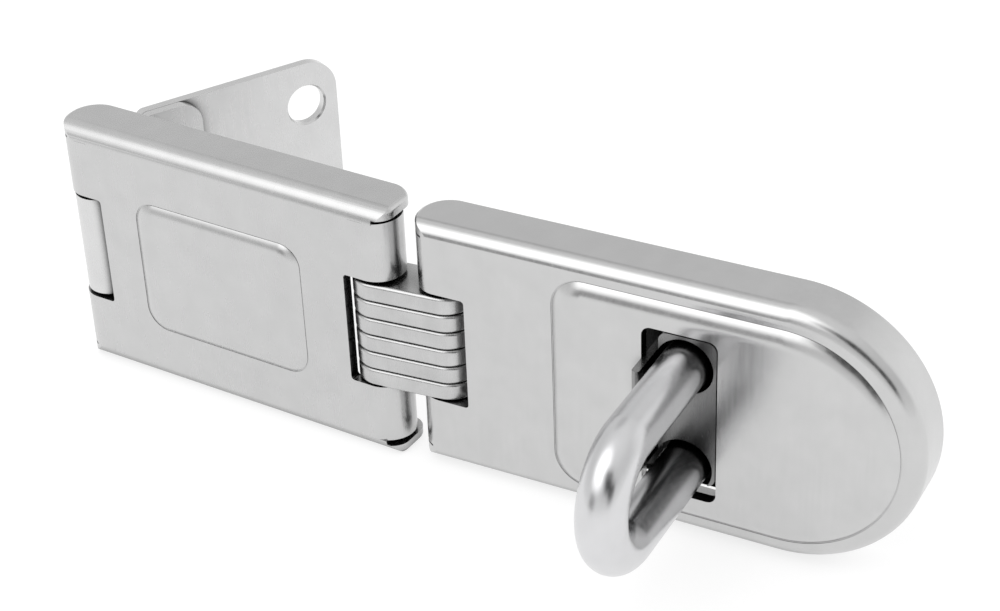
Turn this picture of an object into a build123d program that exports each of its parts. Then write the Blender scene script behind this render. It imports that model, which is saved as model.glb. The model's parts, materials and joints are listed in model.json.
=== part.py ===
from build123d import *
from math import acos, atan2, cos, degrees, hypot, radians, sin
import os

# Articulated safety hasp, in millimetres. The mounting plate lies on a wall at Y = 0 and faces -Y.
# The origin is the centre of its two screw holes, on the wall. The pins stand along Z.
# From the plate's pin a leaf cover swings out, then six links, then the hasp cover with the staple.

# Sheet and pins
cover_sheet = 2.5
plate_sheet = 2.2
cover_depth = 12.0
pin_radius = 3.2
pin_clearance = 0.05
pin_chamfer = 0.4
roll_tip_gap = 1.2

# Leaf cover
leaf_width = 60.0
leaf_pin_spacing = 75.0
leaf_bend_radius = 4.0
leaf_ear_reach = 5.9
leaf_ear_corner = 4.0
leaf_panel_start = 15.1
leaf_panel_length = 43.4
leaf_panel_height = 31.6
leaf_panel_corner = 5.0
leaf_panel_rise = 1.0
leaf_panel_shoulder = 2.5

# Hasp cover
hasp_width = 57.5
hasp_reach = 103.9
hasp_bend_radius = 3.5
hasp_panel_start = 26.9
hasp_panel_margin = 4.4
hasp_panel_corner = 7.0
hasp_panel_rise = 1.7
hasp_panel_shoulder = 4.0
opening_centre = 54.95
opening_width = 16.0
opening_height = 37.8
opening_corner = 2.0

# Hinge windows and the reliefs beside the knuckles
window_height = 26.0
plate_window_edge = 5.0
link_window_edge = 5.2
hasp_window_edge = 6.9
window_corner = 0.8
knuckle_inset = 3.4
relief_start = 2.6
plain_relief = 0.4
ear_relief = 1.0

# Links
link_count = 6
link_spacing = 15.3
link_end_radius = 5.75
link_thickness = 4.1
link_gap = 0.08
link_end_clearance = 0.1
link_edge_radius = 0.8

# Mounting plate
plate_width = 50.0
plate_near_edge = 12.9
plate_far_edge = 62.6
plate_strip_width = 24.2
plate_tail_edge = 27.1
plate_near_corner = 2.0
plate_far_corner = 7.5
plate_tail_corner = 5.0
plate_fold_gap = 0.1
plate_fold_angle = 45.0
screw_hole_radius = 4.7
screw_hole_edge = 8.1
screw_hole_spacing = 29.0
screw_hole_chamfer = 0.4

# Staple and its base
staple_leg_offset = 55.9
staple_leg_spacing = 23.4
staple_rod_radius = 5.0
staple_reach = 43.9
base_sheet = 2.7
base_length = 40.0
base_height = 47.0
base_corner = 4.0
base_screw_radius = 2.6
base_screw_head_radius = 4.9
base_screw_inset = 6.0
rivet_radius = 3.6
rivet_head_radius = 5.0
rivet_head_depth = 1.2
rivet_clearance = 0.05
boss_start = 50.4
boss_length = 12.2
boss_low = -15.2
boss_high = 18.4
boss_wall = 2.2
boss_step_back = 0.3
boss_leg_clearance = 1.1
lip_thickness = 1.6
lip_height = 24.0
lip_proud = 5.6
lip_side_gap = 0.3

# Pose at rest, in degrees from the wall plate's direction, which is +X
leaf_angle = -64.1
link_angle = -56.1
hasp_angle = -60.0

# Worked-out sizes
bore_radius = pin_radius + pin_clearance
roll_radius = bore_radius + cover_sheet
barrel_radius = bore_radius + plate_sheet
front = -roll_radius
sheet_inside = front + cover_sheet
wall = front + cover_depth
link_pitch = link_thickness + link_gap
link_floor = -window_height / 2 + link_end_clearance
hasp_end_centre = hasp_reach - hasp_width / 2
panel_front = front - hasp_panel_rise
beyond = 20.0


def placed(shape, angle, pin):
    """Turn a shape about Z from its own pin frame and move its pin to where it stands."""
    return Location((pin.X, pin.Y, 0), (0, 0, angle)) * shape


def along(pin, angle, distance):
    """Step a distance from a pin in the given direction."""
    return Vector(pin.X + distance * cos(radians(angle)), pin.Y + distance * sin(radians(angle)))


def front_plane(depth):
    """The sketch plane at a depth: its x runs along the piece and its y runs up the pins."""
    return Plane.XZ.offset(-depth)


def block(start, end, near, far, low, high):
    """A box between two limits along the piece, in depth and in height."""
    size = Box(end - start, far - near, high - low)
    return Pos((start + end) / 2, (near + far) / 2, (low + high) / 2) * size


def rounded_block(start, end, near, far, low, high, corner):
    """A box whose four corners, seen from the front, are round."""
    outline = Pos((start + end) / 2, (low + high) / 2) * RectangleRounded(end - start, high - low, corner)
    return extrude(front_plane(near) * outline, amount=near - far)


def round_ended(start, half_height, centre, corner=0.0):
    """An outline with a straight left side and a half-round right end."""
    top = Line((start, half_height), (centre, half_height))
    end = ThreePointArc((centre, half_height), (centre + half_height, 0), (centre, -half_height))
    bottom = Line((centre, -half_height), (start, -half_height))
    outline = make_face([top, end, bottom, Line((start, -half_height), (start, half_height))])
    if corner:
        outline = fillet(outline.vertices().group_by(Axis.X)[0], corner)
    return outline


def lozenge(start, length, height, corner):
    """A rounded rectangle that starts at a distance along the piece."""
    return Pos(start + length / 2, 0) * RectangleRounded(length, height, corner)


def span(start, end, height):
    """A plain rectangle between two distances along the piece."""
    return Pos((start + end) / 2, 0) * Rectangle(end - start, height)


def pressed_tray(outline, hollow, bend_radius):
    """A front sheet with flanges folded back from its long edges, open at the pin ends."""
    outer = extrude(front_plane(front) * outline, amount=-cover_depth)
    outer_edges = outer.faces().sort_by(Axis.Y)[0].edges()
    outer = fillet(outer_edges - outer_edges.filter_by(Axis.Z), bend_radius)
    inner = extrude(front_plane(sheet_inside) * hollow, amount=-cover_depth)
    inner_edges = inner.faces().sort_by(Axis.Y)[0].edges()
    inner = fillet(inner_edges - inner_edges.filter_by(Axis.Z), bend_radius - cover_sheet)
    return outer - inner


def rounded_ends(start, end, start_corner, end_corner, height):
    """The side view of a cover, as a solid that trims its flanges to round ends."""
    side = Pos((start + end) / 2, (front + wall) / 2) * Rectangle(end - start, cover_depth)
    side = fillet(side.vertices().group_by(Axis.X)[0], start_corner)
    if end_corner:
        side = fillet(side.vertices().group_by(Axis.X)[-1], end_corner)
    return extrude(side, amount=height / 2, both=True)


def raised(tray, base, top, rise, edge_radius):
    """Press a panel out of a tray's front: the sheet keeps its thickness."""
    bump = loft([front_plane(front) * base, front_plane(front - rise) * top])
    bump = fillet(bump.faces().sort_by(Axis.Y)[0].edges(), edge_radius)
    hollow = Pos(0, cover_sheet, 0) * bump
    return tray + bump - hollow


def knuckle_end(tray, pin_offset, end_side, half_width, relief):
    """Curl a tray's front sheet round a pin: two rolls, with a relief slit above and below them."""
    roll_end = half_width - knuckle_inset
    tray -= end_cut(pin_offset, end_side, roll_end)
    tray -= end_cut(pin_offset + end_side * relief_start, end_side, roll_end + relief)
    ring = Circle(roll_radius) - Circle(bore_radius)
    throat_depth = cover_sheet + roll_tip_gap
    throat = Pos(-end_side * roll_radius / 2, front + throat_depth / 2) * Rectangle(roll_radius, throat_depth)
    roll = extrude(ring - throat, amount=roll_end - window_height / 2)
    roll = Pos(pin_offset, 0, window_height / 2) * roll
    return tray + roll + mirror(roll, about=Plane.XY)


def end_cut(limit, end_side, half_height):
    """A block that clears everything past a limit along the piece, between two heights."""
    limits = sorted((limit, limit + end_side * beyond))
    return block(limits[0], limits[1], front - beyond, wall + beyond, -half_height, half_height)


def window(edge, end_side):
    """The notch in a cover's end that the middle knuckle or the links turn in."""
    centre = edge + end_side * beyond / 2
    opening = Pos(centre, 0) * RectangleRounded(beyond, window_height, window_corner)
    cut = extrude(front_plane(front - beyond) * opening, amount=-2 * beyond)
    return cut + end_cut(edge + end_side * beyond / 2, end_side, window_height / 2)


def make_leaf_cover():
    """The left cover: a tray with a plain end at the plate and an eared end at the links."""
    start = -roll_radius
    end = leaf_pin_spacing + leaf_ear_reach
    outline = span(start, end, leaf_width)
    hollow = span(start - beyond, end + beyond, leaf_width - 2 * cover_sheet)
    tray = pressed_tray(outline, hollow, leaf_bend_radius)
    tray &= rounded_ends(start, end, roll_radius, leaf_ear_corner, leaf_width)
    base = lozenge(leaf_panel_start, leaf_panel_length, leaf_panel_height, leaf_panel_corner)
    shoulder = leaf_panel_shoulder
    top = lozenge(leaf_panel_start + shoulder, leaf_panel_length - 2 * shoulder,
                  leaf_panel_height - 2 * shoulder, leaf_panel_corner - shoulder)
    tray = raised(tray, base, top, leaf_panel_rise, leaf_panel_rise / 2)
    tray = knuckle_end(tray, 0, -1, leaf_width / 2, plain_relief)
    tray = knuckle_end(tray, leaf_pin_spacing, 1, leaf_width / 2, ear_relief)
    tray -= window(plate_window_edge, -1)
    tray -= window(leaf_pin_spacing - link_window_edge, 1)
    return tray


def make_hasp_cover():
    """The right cover: a round-ended tray with a D-shaped panel and the opening for the staple."""
    half = hasp_width / 2
    start = -roll_radius
    outline = round_ended(start, half, hasp_end_centre)
    hollow = round_ended(start - beyond, half - cover_sheet, hasp_end_centre)
    tray = pressed_tray(outline, hollow, hasp_bend_radius)
    tray &= rounded_ends(start, hasp_reach + beyond, roll_radius, 0, hasp_width)
    panel_half = half - hasp_panel_margin
    shoulder = hasp_panel_shoulder
    base = round_ended(hasp_panel_start, panel_half, hasp_end_centre, hasp_panel_corner)
    top = round_ended(hasp_panel_start + shoulder, panel_half - shoulder, hasp_end_centre,
                      hasp_panel_corner - shoulder)
    tray = raised(tray, base, top, hasp_panel_rise, hasp_panel_rise / 2)
    tray = knuckle_end(tray, 0, -1, half, plain_relief)
    tray -= window(hasp_window_edge, -1)
    tray -= rounded_block(opening_centre - opening_width / 2, opening_centre + opening_width / 2,
                          panel_front - beyond, wall, -opening_height / 2, opening_height / 2,
                          opening_corner)
    return tray


def make_link(index):
    """One flat link of the pack, counted from below, with a hole for each pin."""
    outline = Pos(link_spacing / 2, 0) * SlotCenterToCenter(link_spacing, 2 * link_end_radius)
    plate = extrude(outline, amount=link_thickness)
    plate = fillet(plate.faces().filter_by(Axis.Z).edges(), link_edge_radius)
    for pin in (0, link_spacing):
        plate -= Pos(pin, 0, link_thickness / 2) * Cylinder(bore_radius, 2 * link_thickness)
    return Pos(0, 0, link_floor + index * link_pitch) * plate


def make_pin(cover_width, bend_radius):
    """A pin that lies hidden between the folded edges of a cover, with broken edges at its ends."""
    pin = Cylinder(pin_radius, cover_width - 2 * bend_radius)
    return chamfer(pin.edges().filter_by(GeomType.CIRCLE), pin_chamfer)


def sheet_run(start, end, thickness):
    """One straight run of a folded sheet's section, centred on the line between two points."""
    length = hypot(end[0] - start[0], end[1] - start[1])
    angle = degrees(atan2(end[1] - start[1], end[0] - start[0]))
    middle = ((start[0] + end[0]) / 2, (start[1] + end[1]) / 2)
    return Pos(*middle) * Rot(0, 0, angle) * Rectangle(length, thickness)


def wrap_section():
    """The section of the strip that runs from the plate round the pin and back to the tail."""
    middle_radius = bore_radius + plate_sheet / 2
    plate_middle = wall - plate_sheet / 2
    tail_middle = plate_middle - plate_sheet - plate_fold_gap
    fold = radians(plate_fold_angle)
    leave = (middle_radius * sin(fold), -middle_radius * cos(fold))
    rise = tail_middle - leave[1]
    tail_bend = (leave[0] + rise / sin(fold) * cos(fold), tail_middle)
    plate_bend = (tail_bend[0], plate_middle)
    reach = hypot(*plate_bend)
    meet_angle = atan2(plate_bend[1], plate_bend[0]) + acos(middle_radius / reach)
    meet = (middle_radius * cos(meet_angle), middle_radius * sin(meet_angle))
    mouth = make_face(Polyline((0, 0), (beyond * sin(fold), -beyond * cos(fold)), (beyond, 0), (beyond, beyond),
                               (beyond * cos(meet_angle), beyond * sin(meet_angle)), (0, 0)))
    section = Circle(barrel_radius) - Circle(bore_radius) - mouth
    bend = Circle(plate_sheet / 2)
    section += sheet_run(leave, tail_bend, plate_sheet) + Pos(*tail_bend) * bend
    section += sheet_run(tail_bend, (plate_near_edge + plate_near_corner, tail_middle), plate_sheet)
    section += sheet_run(meet, plate_bend, plate_sheet) + Pos(*plate_bend) * bend
    section += sheet_run(plate_bend, (plate_near_edge + plate_near_corner, plate_middle), plate_sheet)
    return section


def plate_layer(far_edge, far_corner, back):
    """One full-width layer of the plate, between its near edge and a far edge."""
    outline = span(plate_near_edge, far_edge, plate_width)
    outline = fillet(outline.vertices().group_by(Axis.X)[0], plate_near_corner)
    outline = fillet(outline.vertices().group_by(Axis.X)[-1], far_corner)
    return extrude(front_plane(back) * outline, amount=plate_sheet)


def make_mounting_plate():
    """The wall plate: a flat with two screw holes, a strip rolled round the pin and a doubled tail."""
    plate = extrude(wrap_section(), amount=plate_strip_width / 2, both=True)
    plate += plate_layer(plate_far_edge, plate_far_corner, wall)
    plate += plate_layer(plate_tail_edge, plate_tail_corner, wall - plate_sheet - plate_fold_gap)
    centre = plate_far_edge - screw_hole_edge
    face = front_plane(wall - plate_sheet)
    for height in (-screw_hole_spacing / 2, screw_hole_spacing / 2):
        hole = extrude(face * Pos(centre, height) * Circle(screw_hole_radius), amount=-2 * plate_sheet)
        rim = face * Pos(centre, height) * Circle(screw_hole_radius + screw_hole_chamfer)
        plate -= hole + extrude(rim, amount=-screw_hole_chamfer, taper=45)
    return plate


def make_staple():
    """The padlock staple: a round bar bent to a U, each leg stepped down to a rivet at its foot."""
    leg = staple_leg_spacing / 2
    foot = wall - base_sheet
    bend = front - staple_reach + staple_rod_radius + leg
    side = Plane((staple_leg_offset, 0, 0), x_dir=(0, 1, 0), z_dir=(1, 0, 0))
    path = Line((foot, leg), (bend, leg))
    path += ThreePointArc((bend, leg), (bend - leg, 0), (bend, -leg))
    path += Line((bend, -leg), (foot, -leg))
    section = front_plane(foot) * Pos(staple_leg_offset, leg) * Circle(staple_rod_radius)
    bar = sweep(section, path=side * path)
    for height in (-leg, leg):
        tenon = Circle(rivet_radius - rivet_clearance)
        bar += extrude(front_plane(foot) * Pos(staple_leg_offset, height) * tenon, amount=-base_sheet)
        bar += rivet_head(height, rivet_head_radius - rivet_clearance)
    return bar


def rivet_head(height, radius):
    """The cone of a countersunk rivet head or of the sink that it fills, flush with the wall."""
    wide = front_plane(wall) * Pos(staple_leg_offset, height) * Circle(radius)
    narrow_radius = radius - rivet_head_radius + rivet_radius
    narrow = front_plane(wall - rivet_head_depth) * Pos(staple_leg_offset, height) * Circle(narrow_radius)
    return loft([wide, narrow])


def make_staple_base():
    """The staple's base: a plate on the wall with a pressed boss, a lip and four sunk screw holes."""
    leg = staple_leg_spacing / 2
    base_front = wall - base_sheet
    half_length = base_length / 2
    base = rounded_block(staple_leg_offset - half_length, staple_leg_offset + half_length,
                         base_front, wall, -base_height / 2, base_height / 2, base_corner)
    boss_front = panel_front + boss_step_back
    boss_end = boss_start + boss_length
    base += rounded_block(boss_start, boss_end, boss_front, base_front, boss_low, boss_high, opening_corner)
    lip_start = opening_centre - opening_width / 2 + lip_side_gap
    base += block(lip_start, lip_start + lip_thickness, panel_front - lip_proud, base_front,
                  -lip_height / 2, lip_height / 2)
    clear_radius = staple_rod_radius + boss_leg_clearance
    for height in (-leg, leg):
        spot = Pos(staple_leg_offset, height)
        base -= extrude(front_plane(boss_front) * spot * Circle(clear_radius), amount=boss_front - base_front)
        base -= extrude(front_plane(base_front) * spot * Circle(rivet_radius), amount=-base_sheet)
        base -= rivet_head(height, rivet_head_radius)
    pocket = leg - clear_radius - boss_wall
    base -= block(boss_start + boss_wall, boss_end - boss_wall, boss_front + boss_wall, wall, -pocket, pocket)
    for side in (-1, 1):
        for height in (-1, 1):
            across = staple_leg_offset + side * (half_length - base_screw_inset)
            up = height * (base_height / 2 - base_screw_inset)
            base -= screw_sink(across, up, base_front)
    return base


def screw_sink(across, up, face):
    """A countersunk screw hole through the staple's base."""
    spot = Pos(across, up)
    head_depth = base_screw_head_radius - base_screw_radius
    wide = front_plane(face) * spot * Circle(base_screw_head_radius)
    narrow = front_plane(face + head_depth) * spot * Circle(base_screw_radius)
    hole = extrude(front_plane(face) * spot * Circle(base_screw_radius), amount=-base_sheet)
    return hole + loft([wide, narrow])


plate_pin_spot = Vector(screw_hole_edge - plate_far_edge, -wall)
leaf_link_spot = along(plate_pin_spot, leaf_angle, leaf_pin_spacing)
hasp_link_spot = along(leaf_link_spot, link_angle, link_spacing)

pieces = {
    "mounting_plate": placed(make_mounting_plate(), 0, plate_pin_spot),
    "plate_pin": placed(make_pin(leaf_width, leaf_bend_radius), leaf_angle, plate_pin_spot),
    "leaf_cover": placed(make_leaf_cover(), leaf_angle, plate_pin_spot),
    "leaf_link_pin": placed(make_pin(leaf_width, leaf_bend_radius), leaf_angle, leaf_link_spot),
    "hasp_link_pin": placed(make_pin(hasp_width, hasp_bend_radius), hasp_angle, hasp_link_spot),
    "hasp_cover": placed(make_hasp_cover(), hasp_angle, hasp_link_spot),
    "staple": placed(make_staple(), hasp_angle, hasp_link_spot),
    "staple_base": placed(make_staple_base(), hasp_angle, hasp_link_spot),
}
for index in range(link_count):
    pieces[f"link_{index + 1}"] = placed(make_link(index), link_angle, leaf_link_spot)

os.makedirs("parts", exist_ok=True)
for name, shape in pieces.items():
    export_step(shape, f"parts/{name}.step")
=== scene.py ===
"""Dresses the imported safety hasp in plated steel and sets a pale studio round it."""
from __future__ import annotations

import json
import logging
import math
from collections.abc import Callable
from dataclasses import dataclass, field
from enum import Enum

import bmesh
import bpy
from mathutils import Matrix, Vector


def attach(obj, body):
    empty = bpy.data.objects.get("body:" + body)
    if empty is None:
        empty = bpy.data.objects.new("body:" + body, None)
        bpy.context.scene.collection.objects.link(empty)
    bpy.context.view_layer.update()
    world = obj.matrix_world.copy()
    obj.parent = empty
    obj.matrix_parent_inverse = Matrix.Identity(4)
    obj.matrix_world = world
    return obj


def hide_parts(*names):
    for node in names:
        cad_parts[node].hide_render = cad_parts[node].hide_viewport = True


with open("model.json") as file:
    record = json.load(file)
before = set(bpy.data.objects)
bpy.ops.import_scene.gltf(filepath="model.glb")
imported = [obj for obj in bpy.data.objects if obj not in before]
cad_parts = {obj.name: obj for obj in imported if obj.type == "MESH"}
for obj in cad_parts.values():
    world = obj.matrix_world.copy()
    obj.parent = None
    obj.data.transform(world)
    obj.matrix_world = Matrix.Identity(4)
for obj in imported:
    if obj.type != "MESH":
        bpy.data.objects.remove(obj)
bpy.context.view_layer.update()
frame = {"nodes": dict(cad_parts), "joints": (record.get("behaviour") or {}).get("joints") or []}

MM = 0.001
SOLVER = "MANIFOLD"
log = logging.getLogger("hasp")

Point = tuple[float, float]
Outline = list[Point]


class Cut(Enum):
    """What a second solid does to a first."""

    JOIN = "UNION"
    REMOVE = "DIFFERENCE"
    KEEP = "INTERSECT"


class Calculation(Enum):
    """What a node does with two values."""

    TIMES = "MULTIPLY"
    PLUS = "ADD"
    GREATER = "MAXIMUM"


class Facing(Enum):
    """The way an outline's second coordinate and its extrusion run in a piece's own frame."""

    FRONT = "front"
    TOP = "top"


# Sizes that the pressed pieces share, in millimetres

PIN_BORE = 3.25
COVER_SHEET = 2.5
PLATE_SHEET = 2.2
COVER_DEPTH = 12.0
ROLL_RADIUS = PIN_BORE + COVER_SHEET
BARREL_RADIUS = PIN_BORE + PLATE_SHEET
FRONT = -ROLL_RADIUS
INSIDE = FRONT + COVER_SHEET
WALL = FRONT + COVER_DEPTH
ROLL_TIP_GAP = 1.2
WINDOW_HEIGHT = 26.0
WINDOW_CORNER = 0.8
KNUCKLE_INSET = 3.4
RELIEF_START = 2.6
PLAIN_RELIEF = 0.4
EAR_RELIEF = 1.0

# Sizes that the hasp cover, the staple and its base share, in millimetres

HASP_PANEL_RISE = 1.7
STAPLE_AT = 55.9
LEG_SPACING = 23.4
BASE_SHEET = 2.7

# How far cutting and joining forms reach past what they meet, in millimetres

BEYOND = 20.0
OVERSHOOT = 1.0
FACE_LAP = 0.5
ROLL_LAP = 3.0
FORM_DRAW_IN = 0.35
FORM_RUN_OUT = 0.03

# Divisions of round forms

FINE_CIRCLE = 64
HOLE_CIRCLE = 32
ROLL_STEPS = 72
BORE_STEPS = 40
FOLD_STEPS = 16
FORM_STEPS = 24
WINDOW_STEPS = 6

# How a mesh is finished: angles in degrees, distances in millimetres

EASE_SWEEP = 80.0
WELD = 0.002
SEAM_WELD = 0.001
FLAT_ANGLE = 0.2
BROKEN_EDGE_ANGLE = 32.0
BROKEN_EDGE_SEGMENTS = 2
SHARP_ANGLE = 50.0
FACE_WEIGHT = 100
FACE_THRESHOLD = 0.01

# The middle range of a noise texture's values

NOISE_LOW = 0.25
NOISE_HIGH = 0.75


def arc(centre: Point, radius: float, start: float, stop: float, steps: int) -> Outline:
    """Points along a circular arc.

    Args:
        centre: The arc's centre.
        radius: Its radius.
        start: The first point's angle in degrees.
        stop: The last point's angle in degrees.
        steps: How many equal steps the arc is divided into.

    Returns:
        The points from start to stop, both included.
    """
    points = []
    for step in range(steps + 1):
        angle = math.radians(start + (stop - start) * step / steps)
        points.append((centre[0] + radius * math.cos(angle), centre[1] + radius * math.sin(angle)))
    return points


def circle(centre: Point, radius: float, count: int) -> Outline:
    """A full circle of equally spaced points."""
    return arc(centre, radius, 0, 360 - 360 / count, count - 1)


def rounded_rectangle(left: float, right: float, low: float, high: float,
                      corners: tuple[float, float, float, float], steps: int = 12) -> Outline:
    """An anticlockwise rectangle with a radius of its own at each corner.

    Args:
        left: The lowest first coordinate.
        right: The highest first coordinate.
        low: The lowest second coordinate.
        high: The highest second coordinate.
        corners: Radii at low left, low right, high right and high left.
        steps: Divisions of each corner.

    Returns:
        The outline's points.
    """
    spots = ((left, low, 1, 1, 180), (right, low, -1, 1, 270),
             (right, high, -1, -1, 0), (left, high, 1, -1, 90))
    points: Outline = []
    for (across, up, inward, upward, start), radius in zip(spots, corners):
        if radius <= 0:
            points.append((across, up))
            continue
        centre = (across + inward * radius, up + upward * radius)
        points += arc(centre, radius, start, start + 90, steps)
    return points


def round_ended(left: float, half_height: float, centre: float, corner: float,
                steps: int = 12, end_steps: int = 72) -> Outline:
    """An anticlockwise outline with a straight left side and a half-round right end.

    Args:
        left: Where the left side stands.
        half_height: Half the height, and the radius of the right end.
        centre: The centre of the right end.
        corner: Radius of the two left corners.
        steps: Divisions of each left corner.
        end_steps: Divisions of the half-round end.

    Returns:
        The outline's points.
    """
    points = arc((left + corner, -half_height + corner), corner, 180, 270, steps)
    points += arc((centre, 0), half_height, -90, 90, end_steps)
    points += arc((left + corner, half_height - corner), corner, 90, 180, steps)
    return points


def in_frame(point: Point, depth: float, facing: Facing) -> Vector:
    """Put an outline's point into a piece's own frame: along, depth, up.

    Args:
        point: The point on its outline.
        depth: How far along the extrusion it lies.
        facing: The way the outline faces.

    Returns:
        The point in space.
    """
    if facing is Facing.FRONT:
        return Vector((point[0], depth, point[1]))
    return Vector((point[0], point[1], depth))


def new_object(name: str, mesh: bpy.types.Mesh) -> bpy.types.Object:
    """Link a mesh to the scene as an object.

    Args:
        name: The object's name.
        mesh: Its mesh.

    Returns:
        The new object.
    """
    made = bpy.data.objects.new(name, mesh)
    bpy.context.scene.collection.objects.link(made)
    return made


def closed_object(name: str, shape: bmesh.types.BMesh) -> bpy.types.Object:
    """Turn a closed shape's faces outwards and make it an object.

    Args:
        name: The object's name.
        shape: The shape, which is freed.

    Returns:
        The new object.
    """
    bmesh.ops.recalc_face_normals(shape, faces=shape.faces)
    mesh = bpy.data.meshes.new(name)
    shape.to_mesh(mesh)
    shape.free()
    return new_object(name, mesh)


def closed_loft(name: str, rings: list[list[Vector]]) -> bpy.types.Object:
    """A closed solid through rings of equally many points, capped at both ends.

    Args:
        name: The object's name.
        rings: The rings in order; each one is a closed loop.

    Returns:
        The new object, with its faces pointing outwards.
    """
    shape = bmesh.new()
    made = [[shape.verts.new(point) for point in ring] for ring in rings]
    count = len(rings[0])
    for lower, upper in zip(made, made[1:]):
        for index in range(count):
            after = (index + 1) % count
            shape.faces.new((lower[index], lower[after], upper[after], upper[index]))
    shape.faces.new(list(reversed(made[0])))
    shape.faces.new(made[-1])
    return closed_object(name, shape)


def prism(name: str, outline: Outline, near: float, far: float, facing: Facing) -> bpy.types.Object:
    """A closed solid with one outline all the way between two depths."""
    rings = [[in_frame(point, depth, facing) for point in outline] for depth in (near, far)]
    return closed_loft(name, rings)


def turned(name: str, centre: Point, levels: list[Point], count: int) -> bpy.types.Object:
    """A round solid whose axis runs from front to back, such as a stepped foot or a sunk hole.

    Args:
        name: The object's name.
        centre: Where the axis stands, along and up.
        levels: Pairs of depth and radius in order.
        count: Points round each circle.

    Returns:
        The new object.
    """
    rings = [[in_frame(point, depth, Facing.FRONT) for point in circle(centre, radius, count)]
             for depth, radius in levels]
    return closed_loft(name, rings)


def block(left: float, right: float, near: float, far: float, low: float, high: float) -> bpy.types.Object:
    """A plain rectangular solid, used only to cut with."""
    return prism("cutter", [(left, low), (right, low), (right, high), (left, high)], near, far, Facing.FRONT)


def evaluated_mesh(source: bpy.types.Object) -> bpy.types.Mesh:
    """The mesh that an object's modifiers give."""
    graph = bpy.context.evaluated_depsgraph_get()
    return bpy.data.meshes.new_from_object(source.evaluated_get(graph), depsgraph=graph)


def bake(target: bpy.types.Object) -> None:
    """Turn an object's modifiers into plain mesh and remove them.

    Args:
        target: The object, which keeps its name.
    """
    mesh = evaluated_mesh(target)
    old = target.data
    target.modifiers.clear()
    target.data = mesh
    bpy.data.meshes.remove(old)


def combine(target: bpy.types.Object, tool: bpy.types.Object, cut: Cut) -> None:
    """Join, remove or keep what a second solid shares with the first, and delete the second.

    Args:
        target: The first solid, which is changed.
        tool: The second solid.
        cut: What it does to the first.
    """
    step = target.modifiers.new("combine", "BOOLEAN")
    step.object = tool
    step.operation = cut.value
    step.solver = SOLVER
    bake(target)
    mesh = tool.data
    bpy.data.objects.remove(tool)
    bpy.data.meshes.remove(mesh)


def soften_edges(target: bpy.types.Object, width: float) -> None:
    """Break the sharp edges and let flat faces keep flat shading.

    Args:
        target: The object to finish, still in millimetres.
        width: How far the broken edge reaches along each face.
    """
    tidy = bmesh.new()
    tidy.from_mesh(target.data)
    bmesh.ops.remove_doubles(tidy, verts=tidy.verts, dist=WELD)
    bmesh.ops.dissolve_degenerate(tidy, edges=tidy.edges, dist=WELD)
    flat = math.radians(FLAT_ANGLE)
    bmesh.ops.dissolve_limit(tidy, angle_limit=flat, verts=tidy.verts, edges=tidy.edges)
    tidy.to_mesh(target.data)
    tidy.free()
    bevel = target.modifiers.new("broken edges", "BEVEL")
    bevel.width = width
    bevel.segments = BROKEN_EDGE_SEGMENTS
    bevel.limit_method = "ANGLE"
    bevel.angle_limit = math.radians(BROKEN_EDGE_ANGLE)
    bevel.use_clamp_overlap = True
    bake(target)
    smooth_shade(target)


def smooth_shade(target: bpy.types.Object) -> None:
    """Shade smoothly between sharp edges, with each vertex following its largest faces.

    Args:
        target: The object to shade.
    """
    target.data.shade_smooth()
    target.data.set_sharp_from_angle(angle=math.radians(SHARP_ANGLE))
    weight = target.modifiers.new("flat faces first", "WEIGHTED_NORMAL")
    weight.mode = "FACE_AREA"
    weight.weight = FACE_WEIGHT
    weight.thresh = FACE_THRESHOLD
    weight.keep_sharp = True
    bake(target)


@dataclass
class Station:
    """Where a pin stands and which way the piece that turns on it points at rest."""

    pin: Vector
    angle: float

    def matrix(self) -> Matrix:
        """The move from the piece's own frame in millimetres to the row frame in metres."""
        turn = Matrix.Rotation(math.radians(self.angle), 4, "Z")
        return Matrix.Translation(self.pin) @ turn @ Matrix.Scale(MM, 4)


@dataclass
class Chain:
    """The three pins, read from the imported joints, and the directions between them."""

    hasp_angle: float = -60.0
    plate: Station = field(init=False)
    leaf: Station = field(init=False)
    links: Station = field(init=False)
    hasp: Station = field(init=False)

    def __post_init__(self) -> None:
        """Work out each piece's station from the joints."""
        first, second, third = (Vector(joint["pos_m"]) for joint in frame["joints"])
        self.plate = Station(first, 0.0)
        self.leaf = Station(first, self.heading(first, second))
        self.links = Station(second, self.heading(second, third))
        self.hasp = Station(third, self.hasp_angle)

    @staticmethod
    def heading(start: Vector, end: Vector) -> float:
        """The direction from one pin to another, in degrees from +X."""
        step = end - start
        return math.degrees(math.atan2(step.y, step.x))


def calculate(tree: bpy.types.NodeTree, calculation: Calculation, first: bpy.types.NodeSocket,
              second: bpy.types.NodeSocket | float) -> bpy.types.NodeSocket:
    """Add a calculation on two values to a node tree.

    Args:
        tree: The node tree.
        calculation: What is done with the values.
        first: The first value.
        second: The second value, which may be a plain number.

    Returns:
        The result.
    """
    node = tree.nodes.new("ShaderNodeMath")
    node.operation = calculation.value
    tree.links.new(first, node.inputs[0])
    if isinstance(second, float):
        node.inputs[1].default_value = second
    else:
        tree.links.new(second, node.inputs[1])
    return node.outputs["Value"]


def open_tree(name: str, inputs: dict[str, str], output: str) -> tuple[bpy.types.NodeTree, bpy.types.Node]:
    """Start a Geometry Nodes tree with named inputs and one geometry output.

    Args:
        name: The tree's name.
        inputs: Each input's name and socket type.
        output: The output's name.

    Returns:
        The tree and the node that gives its inputs.
    """
    tree = bpy.data.node_groups.new(name, "GeometryNodeTree")
    for label, kind in inputs.items():
        tree.interface.new_socket(label, in_out="INPUT", socket_type=kind)
    tree.interface.new_socket(output, in_out="OUTPUT", socket_type="NodeSocketGeometry")
    return tree, tree.nodes.new("NodeGroupInput")


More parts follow.
